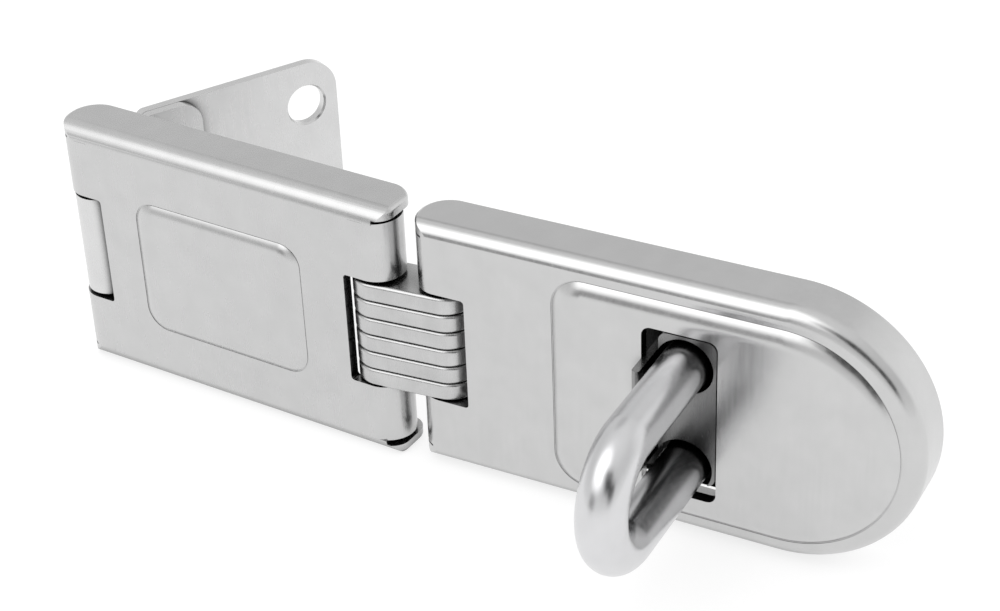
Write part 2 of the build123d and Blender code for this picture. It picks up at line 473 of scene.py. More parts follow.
def close_tree(tree: bpy.types.NodeTree, shape: bpy.types.NodeSocket, material: bpy.types.Material,
               output: str) -> None:
    """End a Geometry Nodes tree: its instances become real mesh and get their material.

    Args:
        tree: The tree.
        shape: The geometry that it has made.
        material: The finish.
        output: The output's name.
    """
    real = tree.nodes.new("GeometryNodeRealizeInstances")
    dress = tree.nodes.new("GeometryNodeSetMaterial")
    result = tree.nodes.new("NodeGroupOutput")
    dress.inputs["Material"].default_value = material
    tree.links.new(shape, real.inputs["Geometry"])
    tree.links.new(real.outputs["Geometry"], dress.inputs["Geometry"])
    tree.links.new(dress.outputs["Geometry"], result.inputs[output])


@dataclass(frozen=True)
class PlatedSteel:
    """Zinc-plated steel: a grey metal with a satin grain, faint waves, rubbed streaks, and painted shade that
    darkens its colour in hollows.
    """

    name: str
    colour: tuple[float, float, float]
    roughness: float
    roughness_swing: float = 0.03
    wave_size: float = 11.0
    wave_height: float = 0.035
    grain_size: float = 1.1
    grain_height: float = 0.0025
    streak_size: float = 0.9
    streak_stretch: float = 0.09
    streak_tone: float = 0.014
    cloud_size: float = 6.0
    cloud_tone: float = 0.03
    # Painted shade: ambient occlusion darkens the colour in hollows, creases and between parts, down to the
    # tone where occlusion reaches the full value and back to no darkening at the clear value.
    painted_shade_reach: float = 5.0
    painted_shade_tone: float = 0.08
    painted_shade_full: float = 0.15
    painted_shade_clear: float = 0.85
    painted_shade_samples: int = 12
    wave_detail: float = 2.0
    grain_detail: float = 1.0
    cloud_detail: float = 3.0
    streak_detail: float = 2.0

    def build(self) -> bpy.types.Material:
        """Make the node material.

        Returns:
            The finished material.
        """
        material = bpy.data.materials.new(self.name)
        material.use_nodes = True
        tree = material.node_tree
        shader = tree.nodes["Principled BSDF"]
        shader.inputs["Metallic"].default_value = 1.0
        place = tree.nodes.new("ShaderNodeTexCoord").outputs["Object"]
        stretch = tree.nodes.new("ShaderNodeMapping")
        stretch.inputs["Scale"].default_value = (1.0, 1.0, self.streak_stretch)
        tree.links.new(place, stretch.inputs["Vector"])
        waves = self.noise(tree, place, self.wave_size, self.wave_detail)
        grain = self.noise(tree, place, self.grain_size, self.grain_detail)
        cloud = self.noise(tree, place, self.cloud_size, self.cloud_detail)
        streak = self.noise(tree, stretch.outputs["Vector"], self.streak_size, self.streak_detail)
        tone = calculate(tree, Calculation.TIMES,
                         self.spread(tree, cloud, 1.0 - self.cloud_tone, 1.0 + self.cloud_tone),
                         self.spread(tree, streak, 1.0 - self.streak_tone, 1.0 + self.streak_tone))
        # Painted shade: the ambient occlusion value scales the base colour down in hollows and creases.
        hollow = tree.nodes.new("ShaderNodeAmbientOcclusion")
        hollow.samples = self.painted_shade_samples
        hollow.inputs["Distance"].default_value = self.painted_shade_reach * MM
        painted_shade_factor = self.spread(tree, hollow.outputs["AO"], self.painted_shade_tone, 1.0,
                            self.painted_shade_full, self.painted_shade_clear)
        tint = tree.nodes.new("ShaderNodeVectorMath")
        tint.operation = "SCALE"
        tint.inputs[0].default_value = self.colour
        tree.links.new(calculate(tree, Calculation.TIMES, tone, painted_shade_factor), tint.inputs["Scale"])
        tree.links.new(tint.outputs["Vector"], shader.inputs["Base Color"])
        swing = self.roughness_swing
        rough = self.spread(tree, streak, self.roughness - swing, self.roughness + swing)
        tree.links.new(rough, shader.inputs["Roughness"])
        wave_bump = self.bump(tree, waves, self.wave_height)
        grain_bump = self.bump(tree, grain, self.grain_height)
        tree.links.new(wave_bump.outputs["Normal"], grain_bump.inputs["Normal"])
        tree.links.new(grain_bump.outputs["Normal"], shader.inputs["Normal"])
        return material

    @staticmethod
    def spread(tree: bpy.types.NodeTree, value: bpy.types.NodeSocket, low: float, high: float,
               start: float = NOISE_LOW, stop: float = NOISE_HIGH) -> bpy.types.NodeSocket:
        """Map a value's middle range onto another range.

        Args:
            tree: The material's node tree.
            value: The value.
            low: The result at the range's start.
            high: The result at its end.
            start: Where the range starts.
            stop: Where it ends.

        Returns:
            The mapped value.
        """
        node = tree.nodes.new("ShaderNodeMapRange")
        node.inputs["From Min"].default_value = start
        node.inputs["From Max"].default_value = stop
        node.inputs["To Min"].default_value = low
        node.inputs["To Max"].default_value = high
        tree.links.new(value, node.inputs["Value"])
        return node.outputs["Result"]

    @staticmethod
    def bump(tree: bpy.types.NodeTree, height: bpy.types.NodeSocket, depth: float) -> bpy.types.Node:
        """Add a bump.

        Args:
            tree: The material's node tree.
            height: The pattern that gives its height.
            depth: How deep it is, in millimetres.

        Returns:
            The bump's node.
        """
        node = tree.nodes.new("ShaderNodeBump")
        node.inputs["Distance"].default_value = depth * MM
        tree.links.new(height, node.inputs["Height"])
        return node

    @staticmethod
    def noise(tree: bpy.types.NodeTree, vector: bpy.types.NodeSocket, size: float,
              detail: float) -> bpy.types.NodeSocket:
        """Add a noise texture.

        Args:
            tree: The material's node tree.
            vector: Where on the piece it is read.
            size: The size of its patches, in millimetres.
            detail: How many finer layers it has.

        Returns:
            The texture's value.
        """
        node = tree.nodes.new("ShaderNodeTexNoise")
        node.inputs["Scale"].default_value = 1.0 / (size * MM)
        node.inputs["Detail"].default_value = detail
        tree.links.new(vector, node.inputs["Vector"])
        return node.outputs["Fac"]


@dataclass
class Finishes:
    """The finishes of the hasp's pieces, whose colours carry painted shade."""

    leaf: bpy.types.Material = field(init=False)
    hasp: bpy.types.Material = field(init=False)
    plate: bpy.types.Material = field(init=False)
    links: bpy.types.Material = field(init=False)
    bar: bpy.types.Material = field(init=False)
    foot: bpy.types.Material = field(init=False)
    pins: bpy.types.Material = field(init=False)

    def __post_init__(self) -> None:
        """Build each material once."""
        self.leaf = PlatedSteel("satin_sheet", (0.59, 0.59, 0.59), 0.26, streak_tone=0.012).build()
        self.hasp = PlatedSteel("rubbed_sheet", (0.59, 0.59, 0.59), 0.23).build()
        # The plate's higher full point paints deeper shade on the walls of its holes.
        self.plate = PlatedSteel("folded_plate", (0.68, 0.68, 0.68), 0.28, painted_shade_full=0.5,
                                 painted_shade_clear=0.9, streak_tone=0.008).build()
        self.links = PlatedSteel("tumbled_links", (0.56, 0.56, 0.56), 0.27, cloud_tone=0.08, streak_tone=0.03,
                                 wave_size=3.5, wave_height=0.05).build()
        # The bar's long reach paints shade along its legs where they stand near the cover and the base.
        self.bar = PlatedSteel("polished_bar", (0.68, 0.68, 0.69), 0.24, wave_height=0.01, streak_tone=0.01,
                               painted_shade_reach=18.0, painted_shade_full=0.4, painted_shade_clear=0.85).build()
        # The base's dark grey and long reach are painted shade for the shadow that falls between and under
        # the staple's legs; it is the same plated steel as the other pieces.
        self.foot = PlatedSteel("foot_plate", (0.33, 0.33, 0.33), 0.26, painted_shade_reach=16.0, cloud_tone=0.1,
                                painted_shade_full=0.2, painted_shade_clear=0.95).build()
        self.pins = PlatedSteel("plain_pin", (0.4, 0.4, 0.4), 0.35).build()


def place(piece: bpy.types.Object, station: Station, material: bpy.types.Material, body: str,
          slot: str, nodes: list[str]) -> bpy.types.Object:
    """Put a finished piece where its node stands and let it take the node's part.

    Args:
        piece: The piece in its own frame, in millimetres.
        station: Its pin and direction.
        material: Its finish.
        body: The body that it moves with.
        slot: The record's material slot; not used.
        nodes: The nodes that it stands for.

    Returns:
        The same piece.
    """
    piece.data.transform(station.matrix())
    piece.data.materials.clear()
    piece.data.materials.append(material)
    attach(piece, body)
    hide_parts(*nodes)
    log.info("%s: %d faces", piece.name, len(piece.data.polygons))
    return piece


def tray_section(half_width: float, bend: float, steps: int) -> tuple[Outline, Outline]:
    """Half of a cover's cross-section, from the middle line out to the flange's rim.

    Args:
        half_width: Half the cover's width.
        bend: Outer radius of the fold.
        steps: Divisions of the fold.

    Returns:
        The outer and the inner surface, each from the rim to the middle, as (out, depth).
    """
    centre = (half_width - bend, FRONT + bend)
    outer = [(half_width, WALL)] + arc(centre, bend, 0, -90, steps) + [(0.0, FRONT)]
    inner = [(half_width - COVER_SHEET, WALL)]
    inner += arc(centre, bend - COVER_SHEET, 0, -90, steps) + [(0.0, INSIDE)]
    return outer, inner


def side_form(far_end: float, corners: tuple[float, float, float, float], half_width: float, ease: float,
              steps: int = 5) -> bpy.types.Object:
    """The side view of a cover, drawn in a little at both flanges so that their ends round over.

    Args:
        far_end: Where the cover's far end stands.
        corners: Radii at front near, front far, wall far and wall near.
        half_width: Half the cover's width.
        ease: Radius of the rounding where the flanges' faces meet the ends.
        steps: Divisions of that rounding.

    Returns:
        The form that a tray is trimmed with.
    """
    profile = []
    for step in range(steps + 1):
        turn = math.radians(EASE_SWEEP * step / steps)
        profile.append((ease * (1 - math.cos(turn)), half_width - ease * (1 - math.sin(turn))))
    profile.append((profile[-1][0] + FORM_DRAW_IN, half_width + FORM_RUN_OUT))
    levels = [(inset, -height) for inset, height in reversed(profile)] + profile
    rings = []
    for inset, height in levels:
        outline = rounded_rectangle(-ROLL_RADIUS + inset, far_end - inset, FRONT, WALL, corners, FORM_STEPS)
        rings.append([in_frame(point, height, Facing.TOP) for point in outline])
    return closed_loft("side form", rings)


def curl_end(cover: bpy.types.Object, pin_at: float, end_side: int, half_width: float, relief: float) -> None:
    """Curl a cover's front sheet round a pin, with a relief slit above and below the rolls.

    Args:
        cover: The cover's skin, still in millimetres.
        pin_at: Where the pin stands along the cover.
        end_side: 1 for the far end, -1 for the near end.
        half_width: Half the cover's width.
        relief: The slit's height.
    """
    roll_end = half_width - KNUCKLE_INSET
    combine(cover, end_clearance(pin_at, end_side, roll_end), Cut.REMOVE)
    combine(cover, end_clearance(pin_at + end_side * RELIEF_START, end_side, roll_end + relief), Cut.REMOVE)
    tip = INSIDE + ROLL_TIP_GAP
    tip_outer = math.degrees(math.asin(tip / ROLL_RADIUS))
    tip_inner = math.degrees(math.asin(tip / PIN_BORE))
    outer = arc((0, 0), ROLL_RADIUS, -90, 180 - tip_outer, ROLL_STEPS)
    inner = arc((0, 0), PIN_BORE, 180 - tip_inner, -90, BORE_STEPS)
    section = [(-ROLL_LAP, FRONT)] + outer + inner + [(-ROLL_LAP, INSIDE)]
    placed = [(pin_at + end_side * along, depth) for along, depth in section]
    low = WINDOW_HEIGHT / 2
    for near, far in ((low, roll_end), (-roll_end, -low)):
        combine(cover, prism("roll", placed, near, far, Facing.TOP), Cut.JOIN)


def end_window(edge: float, end_side: int) -> bpy.types.Object:
    """The notch in a cover's end, with rounded inner corners, as a cutter.

    Args:
        edge: Where its inner edge stands along the cover.
        end_side: 1 for the far end, -1 for the near end.

    Returns:
        The cutter.
    """
    left, right = sorted((edge, edge + end_side * BEYOND))
    inner = WINDOW_CORNER
    corners = (0, inner, inner, 0) if end_side < 0 else (inner, 0, 0, inner)
    half = WINDOW_HEIGHT / 2
    outline = rounded_rectangle(left, right, -half, half, corners, WINDOW_STEPS)
    return prism("window", outline, FRONT - BEYOND, WALL + BEYOND, Facing.FRONT)


def end_clearance(limit: float, end_side: int, half_height: float) -> bpy.types.Object:
    """Everything past a limit along a cover, between two heights, as a cutter."""
    left, right = sorted((limit, limit + end_side * BEYOND))
    return block(left, right, FRONT - BEYOND, WALL + BEYOND, -half_height, half_height)


@dataclass
class PanelForm:
    """How a raised panel climbs from a struck line at its foot: steep at first, then rounding over."""

    rise: float
    shoulder: float
    steps: int = 12
    root: float = 0.4
    line_width: float = 0.26
    line_depth: float = 0.08
    foot_lap: float = 0.02
    curved_share: float = 0.35

    def profile(self) -> list[tuple[float, float]]:
        """The climb from under the front sheet to the plateau.

        Returns:
            Pairs of inset and height.
        """
        points = [(-self.foot_lap, -self.root)]
        for step in range(self.steps + 1):
            turn = step / self.steps * math.pi / 2
            curved = self.shoulder * (1 - math.cos(turn)) * self.curved_share
            straight = self.shoulder * (1 - self.curved_share) * step / self.steps
            points.append((curved + straight, self.rise * math.sin(turn)))
        return points

    def press(self, cover: bpy.types.Object, outline: Callable[[float], Outline]) -> None:
        """Strike the line round the foot, raise the panel and hollow its back.

        Args:
            cover: The cover's skin.
            outline: Gives the panel's outline at an inset from its foot.
        """
        line = prism("line", outline(-self.line_width), FRONT - OVERSHOOT, FRONT + self.line_depth,
                     Facing.FRONT)
        combine(cover, line, Cut.REMOVE)
        combine(cover, self.solid(outline, 0.0), Cut.JOIN)
        combine(cover, self.solid(outline, COVER_SHEET), Cut.REMOVE)

    def solid(self, outline: Callable[[float], Outline], lift: float) -> bpy.types.Object:
        """The panel as a solid, moved back by a lift."""
        rings = [[in_frame(point, FRONT - height + lift, Facing.FRONT) for point in outline(inset)]
                 for inset, height in self.profile()]
        return closed_loft("panel", rings)


@dataclass
class LeafCover:
    """The left cover, between the wall plate's knuckle and the links."""

    width: float = 60.0
    pin_spacing: float = 75.0
    bend: float = 4.0
    ear_reach: float = 5.9
    ear_corner: float = 4.0
    ease: float = 1.1
    panel_start: float = 15.1
    panel_length: float = 43.4
    panel_height: float = 31.6
    panel_corner: float = 5.0
    panel_rise: float = 1.15
    panel_shoulder: float = 3.0
    panel_least_corner: float = 1.0
    panel_corner_steps: int = 12
    broken_edge: float = 0.22
    plate_window: float = 5.0
    link_window: float = 69.8

    def tray(self) -> bpy.types.Object:
        """The folded tray before its ends are cut.

        Returns:
            The tray.
        """
        outer, inner = tray_section(self.width / 2, self.bend, FOLD_STEPS)
        upper = outer[:-1] + [(-out, depth) for out, depth in reversed(outer)]
        lower = [(-out, depth) for out, depth in inner] + list(reversed(inner[:-1]))
        section = upper + lower
        start, end = -ROLL_RADIUS, self.pin_spacing + self.ear_reach
        rings = [[Vector((along, depth, out)) for out, depth in section] for along in (start, end)]
        return closed_loft("leaf_cover_skin", rings)

    def panel(self, inset: float) -> Outline:
        """The panel's outline at an inset from its foot.

        Args:
            inset: How far it is drawn in.

        Returns:
            The outline.
        """
        radius = max(self.panel_corner - inset, self.panel_least_corner)
        return rounded_rectangle(self.panel_start + inset, self.panel_start + self.panel_length - inset,
                                 -self.panel_height / 2 + inset, self.panel_height / 2 - inset,
                                 (radius,) * 4, self.panel_corner_steps)

    def build(self, chain: Chain, finishes: Finishes) -> bpy.types.Object:
        """Make the cover and put it in place.

        Args:
            chain: Where the pins stand.
            finishes: The pieces' materials.

        Returns:
            The finished cover.
        """
        cover = self.tray()
        corners = (ROLL_RADIUS, self.ear_corner, self.ear_corner, ROLL_RADIUS)
        form = side_form(self.pin_spacing + self.ear_reach, corners, self.width / 2, self.ease)
        combine(cover, form, Cut.KEEP)
        curl_end(cover, 0.0, -1, self.width / 2, PLAIN_RELIEF)
        curl_end(cover, self.pin_spacing, 1, self.width / 2, EAR_RELIEF)
        combine(cover, end_window(self.plate_window, -1), Cut.REMOVE)
        combine(cover, end_window(self.link_window, 1), Cut.REMOVE)
        PanelForm(self.panel_rise, self.panel_shoulder).press(cover, self.panel)
        soften_edges(cover, self.broken_edge)
        return place(cover, chain.leaf, finishes.leaf, "leaf", "plated_sheet", ["leaf_cover"])


@dataclass
class HaspCover:
    """The right cover, with the round end and the opening that drops over the staple."""

    width: float = 57.5
    reach: float = 103.9
    bend: float = 3.5
    panel_start: float = 26.9
    panel_margin: float = 4.4
    panel_corner: float = 7.0
    panel_rise: float = HASP_PANEL_RISE
    panel_shoulder: float = 4.0
    panel_least_corner: float = 1.5
    window_edge: float = 6.9
    opening_centre: float = 54.95
    opening_width: float = 16.0
    opening_height: float = 37.8
    opening_corner: float = 2.0
    opening_steps: int = 8
    broken_edge: float = 0.22
    end_steps: int = 72
    ease: float = 1.1

    def tray(self) -> bpy.types.Object:
        """The tray: the half-section carried along both sides and round the end.

        Returns:
            The tray.
        """
        outer, inner = tray_section(self.width / 2, self.bend, FOLD_STEPS)
        loop = outer + list(reversed(inner))
        seam = len(outer) - 1
        centre = self.reach - self.width / 2
        start = -ROLL_RADIUS
        stations = [(start, 90.0)]
        stations += [(centre, 90.0 - 180.0 * step / self.end_steps) for step in range(self.end_steps + 1)]
        stations += [(start, -90.0)]
        shape = bmesh.new()
        rows = []
        for along, angle in stations:
            turn = math.radians(angle)
            rows.append([shape.verts.new((along + out * math.cos(turn), depth, out * math.sin(turn)))
                         for out, depth in loop])
        for row, after in zip(rows, rows[1:]):
            for index in range(len(loop)):
                if index == seam:
                    continue
                other = (index + 1) % len(loop)
                shape.faces.new((row[index], row[other], after[other], after[index]))
        shape.faces.new(rows[0])
        shape.faces.new(list(reversed(rows[-1])))
        bmesh.ops.remove_doubles(shape, verts=shape.verts, dist=SEAM_WELD)
        return closed_object("hasp_cover_skin", shape)

    def panel(self, inset: float) -> Outline:
        """The D-shaped panel's outline at an inset from its foot.

        Args:
            inset: How far it is drawn in.

        Returns:
            The outline.
        """
        half = self.width / 2 - self.panel_margin
        corner = max(self.panel_corner - inset, self.panel_least_corner)
        return round_ended(self.panel_start + inset, half - inset, self.reach - self.width / 2, corner)

    def build(self, chain: Chain, finishes: Finishes) -> bpy.types.Object:
        """Make the cover and put it in place.

        Args:
            chain: Where the pins stand.
            finishes: The pieces' materials.

        Returns:
            The finished cover.
        """
        cover = self.tray()
        form = side_form(self.reach + BEYOND, (ROLL_RADIUS, 0, 0, ROLL_RADIUS), self.width / 2, self.ease)
        combine(cover, form, Cut.KEEP)
        curl_end(cover, 0.0, -1, self.width / 2, PLAIN_RELIEF)
        combine(cover, end_window(self.window_edge, -1), Cut.REMOVE)
        PanelForm(self.panel_rise, self.panel_shoulder).press(cover, self.panel)
        left = self.opening_centre - self.opening_width / 2
        opening = rounded_rectangle(left, left + self.opening_width, -self.opening_height / 2,
                                    self.opening_height / 2, (self.opening_corner,) * 4,
                                    self.opening_steps)
        combine(cover, prism("opening", opening, FRONT - BEYOND, WALL, Facing.FRONT), Cut.REMOVE)
        soften_edges(cover, self.broken_edge)
        return place(cover, chain.hasp, finishes.hasp, "hasp", "plated_sheet", ["hasp_cover"])


@dataclass
class LinkPack:
    """The six flat links that join the covers."""

    count: int = 6
    spacing: float = 15.3
    end_radius: float = 5.75
    thickness: float = 4.1
    gap: float = 0.08
    floor_gap: float = 0.1
    edge: float = 0.8
    rim_steps: int = 5
    end_steps: int = 28

    def ring(self, inset: float, height: float) -> list[Vector]:
        """The link's outline at one height.

        Args:
            inset: How far it is set in from its widest.
            height: The height.

        Returns:
            The outline's points in space.
        """
        radius = self.end_radius - inset
        outline = arc((0, 0), radius, 90, 270, self.end_steps)
        outline += arc((self.spacing, 0), radius, -90, 90, self.end_steps)
        return [in_frame(point, height, Facing.TOP) for point in outline]

    def link(self) -> bpy.types.Object:
        """One link with rounded rims and two pin holes, its lower face at height 0.

        Returns:
            The link.
        """
        rings = []
        for step in range(self.rim_steps + 1):
            turn = math.pi / 2 * step / self.rim_steps
            inset, height = self.edge * (1 - math.sin(turn)), self.edge * (1 - math.cos(turn))
            rings.append(self.ring(inset, height))
        for step in range(self.rim_steps + 1):
            turn = math.pi / 2 * step / self.rim_steps
            inset, drop = self.edge * (1 - math.cos(turn)), self.edge * (1 - math.sin(turn))
            rings.append(self.ring(inset, self.thickness - drop))
        link = closed_loft("link_pattern", rings)
        for pin in (0.0, self.spacing):
            hole = prism("hole", circle((pin, 0), PIN_BORE, HOLE_CIRCLE), -OVERSHOOT,
                         self.thickness + OVERSHOOT, Facing.TOP)
            combine(link, hole, Cut.REMOVE)
        smooth_shade(link)
        return link

    def tree(self, material: bpy.types.Material) -> bpy.types.NodeTree:
        """The node tree that stacks the link on itself.

        Args:
            material: The links' finish.

        Returns:
            The tree, with inputs Link, Count and Pitch.
        """
        inputs = {"Link": "NodeSocketGeometry", "Count": "NodeSocketInt", "Pitch": "NodeSocketFloat"}
        tree, given = open_tree("link stack", inputs, "Stack")
        line = tree.nodes.new("GeometryNodeMeshLine")
        step = tree.nodes.new("ShaderNodeCombineXYZ")
        stack = tree.nodes.new("GeometryNodeInstanceOnPoints")
        join = tree.links.new
        join(given.outputs["Count"], line.inputs["Count"])
        join(given.outputs["Pitch"], step.inputs["Z"])
        join(step.outputs["Vector"], line.inputs["Offset"])
        join(line.outputs["Mesh"], stack.inputs["Points"])
        join(given.outputs["Link"], stack.inputs["Instance"])
        close_tree(tree, stack.outputs["Instances"], material, "Stack")
        return tree

    def build(self, chain: Chain, finishes: Finishes) -> bpy.types.Object:
        """Stack the links and put them in place.

        Args:
            chain: Where the pins stand.
            finishes: The pieces' materials.

        Returns:
            The finished stack.
        """
        pack = self.link()
        pack.name = "link_stack"
        stack = pack.modifiers.new("stack", "NODES")
        stack.node_group = self.tree(finishes.links)
        set_input(stack, "Count", self.count)
        set_input(stack, "Pitch", self.thickness + self.gap)
        bake(pack)
        floor = -WINDOW_HEIGHT / 2 + self.floor_gap
        pack.data.transform(Matrix.Translation((0, 0, floor)))
        nodes = [f"link_{number + 1}" for number in range(self.count)]
        return place(pack, chain.links, finishes.links, "link_pack", "plated_links", nodes)


def set_input(modifier: bpy.types.NodesModifier, name: str, value: object) -> None:
    """Set a node tree's input on a modifier by the socket's identifier.

    Args:
        modifier: The modifier that holds the tree.
        name: The socket's name.
        value: What it is set to.
    """
    for item in modifier.node_group.interface.items_tree:
        if item.item_type == "SOCKET" and item.in_out == "INPUT" and item.name == name:
            modifier[item.identifier] = value


@dataclass
class MountingPlate:
    """The wall plate: one sheet wrapped round the pin, with a doubled tail."""

    width: float = 50.0
    near_edge: float = 12.9
    far_edge: float = 62.6
    strip_width: float = 24.2
    tail_edge: float = 27.1
    near_corner: float = 2.0
    far_corner: float = 7.5
    tail_corner: float = 5.0
    fold_gap: float = 0.1
    hole_radius: float = 4.7
    hole_edge: float = 8.1
    hole_spacing: float = 29.0
    hole_chamfer: float = 0.4
    broken_edge: float = 0.18
    fold_angle: float = 45.0
    fold_bend: float = 2.6
    fold_steps: int = 10
    bore_steps: int = 56
    corner_steps: int = 16

    def wrap(self) -> Outline:
        """The strip's section, from the tail round the pin to the plate.

        Returns:
            The section's outline.
        """
        half = PLATE_SHEET / 2
        middle = PIN_BORE + half
        plate_depth = WALL - half
        tail_depth = plate_depth - PLATE_SHEET - self.fold_gap
        slope = math.radians(self.fold_angle)
        leave = (middle * math.sin(slope), -middle * math.cos(slope))
        bend = (leave[0] + tail_depth - leave[1], tail_depth)
        joggle = (bend[0], plate_depth)
        reach = math.hypot(*joggle)
        meet = math.degrees(math.atan2(joggle[1], joggle[0]) + math.acos(middle / reach))
        end = self.near_edge + self.near_corner
        rise = self.fold_angle - 90
        outer = [(end, tail_depth - half)] + self.bend_points(bend, -90, rise, half)
        outer += arc((0, 0), BARREL_RADIUS, rise, meet - 360, ROLL_STEPS)
        outer += [(joggle[0], joggle[1] + half), (end, plate_depth + half)]
        inner = [(end, plate_depth - half), (joggle[0], joggle[1] - half)]
        inner += arc((0, 0), PIN_BORE, meet - 360, rise, self.bore_steps)
        inner += self.bend_points(bend, rise, -90, -half)
        inner += [(end, tail_depth + half)]
        return outer + inner

    def bend_points(self, corner: Point, start: float, stop: float, side: float) -> Outline:
        """Points along one surface of the fold between the strip's slope and its tail.

        Args:
            corner: Where the two straight runs' middle lines cross.
            start: The outer surface's direction before the fold, in degrees.
            stop: Its direction after the fold.
            side: How far the surface lies outside the middle line.

        Returns:
            Points along the fold.
        """
        middle = math.radians((start + stop) / 2)
        back = self.fold_bend / math.cos(math.radians(abs(stop - start) / 2))
        centre = (corner[0] + back * math.cos(middle), corner[1] + back * math.sin(middle))
        return arc(centre, self.fold_bend - side, start + 180, stop + 180, self.fold_steps)

    def layer(self, far_edge: float, far_corner: float, back: float) -> bpy.types.Object:
        """One full-width layer of the sheet.

        Args:
            far_edge: Where its far edge stands.
            far_corner: Radius of its far corners.
            back: The depth of its back.

        Returns:
            The layer.
        """
        outline = rounded_rectangle(self.near_edge, far_edge, -self.width / 2, self.width / 2,
                                    (self.near_corner, far_corner, far_corner, self.near_corner),
                                    self.corner_steps)
        return prism("layer", outline, back - PLATE_SHEET, back, Facing.FRONT)

    def build(self, chain: Chain, finishes: Finishes) -> bpy.types.Object:
        """Make the plate and put it in place.

        Args:
            chain: Where the pins stand.
            finishes: The pieces' materials.

        Returns:
            The finished plate.
        """
        plate = prism("folded_plate", self.wrap(), -self.strip_width / 2, self.strip_width / 2, Facing.TOP)
        combine(plate, self.layer(self.far_edge, self.far_corner, WALL), Cut.JOIN)
        tail_back = WALL - PLATE_SHEET - self.fold_gap
        combine(plate, self.layer(self.tail_edge, self.tail_corner, tail_back), Cut.JOIN)
        across = self.far_edge - self.hole_edge
        face = WALL - PLATE_SHEET
        for height in (-self.hole_spacing / 2, self.hole_spacing / 2):
            levels = [(face - OVERSHOOT, self.hole_radius + self.hole_chamfer + OVERSHOOT),
                      (face + self.hole_chamfer, self.hole_radius), (WALL + OVERSHOOT, self.hole_radius)]
            combine(plate, turned("hole", (across, height), levels, FINE_CIRCLE), Cut.REMOVE)
        soften_edges(plate, self.broken_edge)
        return place(plate, chain.plate, finishes.plate, "wall_plate", "plated_sheet", ["mounting_plate"])


@dataclass
class Staple:
    """The bent bar that takes the padlock."""

    leg_at: float = STAPLE_AT
    leg_spacing: float = LEG_SPACING
    rod_radius: float = 5.0
    reach: float = 43.9
    base_sheet: float = BASE_SHEET
    rivet_radius: float = 3.6
    rivet_head: float = 5.0
    rivet_depth: float = 1.2
    rivet_clearance: float = 0.05
    bend_steps: int = 64
    sides: int = 72

    def path(self) -> bpy.types.Object:
        """The bar's middle line as a chain of edges.

        Returns:
            An object that holds the line.
        """
        leg = self.leg_spacing / 2
        foot = WALL - self.base_sheet
        bend = FRONT - self.reach + self.rod_radius + leg
        line = [(foot, leg)] + arc((bend, 0), leg, 90, 270, self.bend_steps) + [(foot, -leg)]
        mesh = bpy.data.meshes.new("staple_bar")
        edges = [(index, index + 1) for index in range(len(line) - 1)]
        mesh.from_pydata([(self.leg_at, depth, height) for depth, height in line], edges, [])
        return new_object("staple_bar", mesh)

    @staticmethod
    def tree(material: bpy.types.Material) -> bpy.types.NodeTree:
        """The node tree that sweeps a round section along the bar's middle line.

        Args:
            material: The bar's finish.

        Returns:
            The tree, with inputs Path, Radius and Sides.
        """
        inputs = {"Path": "NodeSocketGeometry", "Radius": "NodeSocketFloat", "Sides": "NodeSocketInt"}
        tree, given = open_tree("bar sweep", inputs, "Bar")
        curve = tree.nodes.new("GeometryNodeMeshToCurve")
        ring = tree.nodes.new("GeometryNodeCurvePrimitiveCircle")
        sweep = tree.nodes.new("GeometryNodeCurveToMesh")
        smooth = tree.nodes.new("GeometryNodeSetShadeSmooth")
        sweep.inputs["Fill Caps"].default_value = True
        join = tree.links.new
        join(given.outputs["Path"], curve.inputs["Mesh"])
        join(given.outputs["Radius"], ring.inputs["Radius"])
        join(given.outputs["Sides"], ring.inputs["Resolution"])
        join(curve.outputs["Curve"], sweep.inputs["Curve"])
        join(ring.outputs["Curve"], sweep.inputs["Profile Curve"])
        join(sweep.outputs["Mesh"], smooth.inputs["Geometry"])
        close_tree(tree, smooth.outputs["Geometry"], material, "Bar")
        return tree

    def build(self, chain: Chain, finishes: Finishes) -> bpy.types.Object:
        """Sweep the bar and put it in place.

        Args:
            chain: Where the pins stand.
            finishes: The pieces' materials.

        Returns:
            The finished bar.
        """
        bar = self.path()
        sweep = bar.modifiers.new("sweep", "NODES")
        sweep.node_group = self.tree(finishes.bar)
        set_input(sweep, "Radius", self.rod_radius)
        set_input(sweep, "Sides", self.sides)
        bake(bar)
        for height in (-self.leg_spacing / 2, self.leg_spacing / 2):
            combine(bar, self.rivet(height, self.rivet_clearance), Cut.JOIN)
        smooth_shade(bar)
        outward = bmesh.new()
        outward.from_mesh(bar.data)
        bmesh.ops.recalc_face_normals(outward, faces=outward.faces)
        outward.to_mesh(bar.data)
        outward.free()
        return place(bar, chain.hasp, finishes.bar, "hasp", "plated_bar", ["staple"])

    def rivet(self, height: float, clearance: float) -> bpy.types.Object:
        """The stepped foot of one leg, with its head spread flush with the wall face.

        Args:
            height: The leg's height.
            clearance: How much slimmer than its hole the foot is.

        Returns:
            The foot.
        """
        narrow, wide = self.rivet_radius - clearance, self.rivet_head - clearance
        levels = [(WALL - self.base_sheet - OVERSHOOT, narrow), (WALL - self.rivet_depth, narrow),
                  (WALL, wide)]
        return turned("rivet", (self.leg_at, height), levels, FINE_CIRCLE)


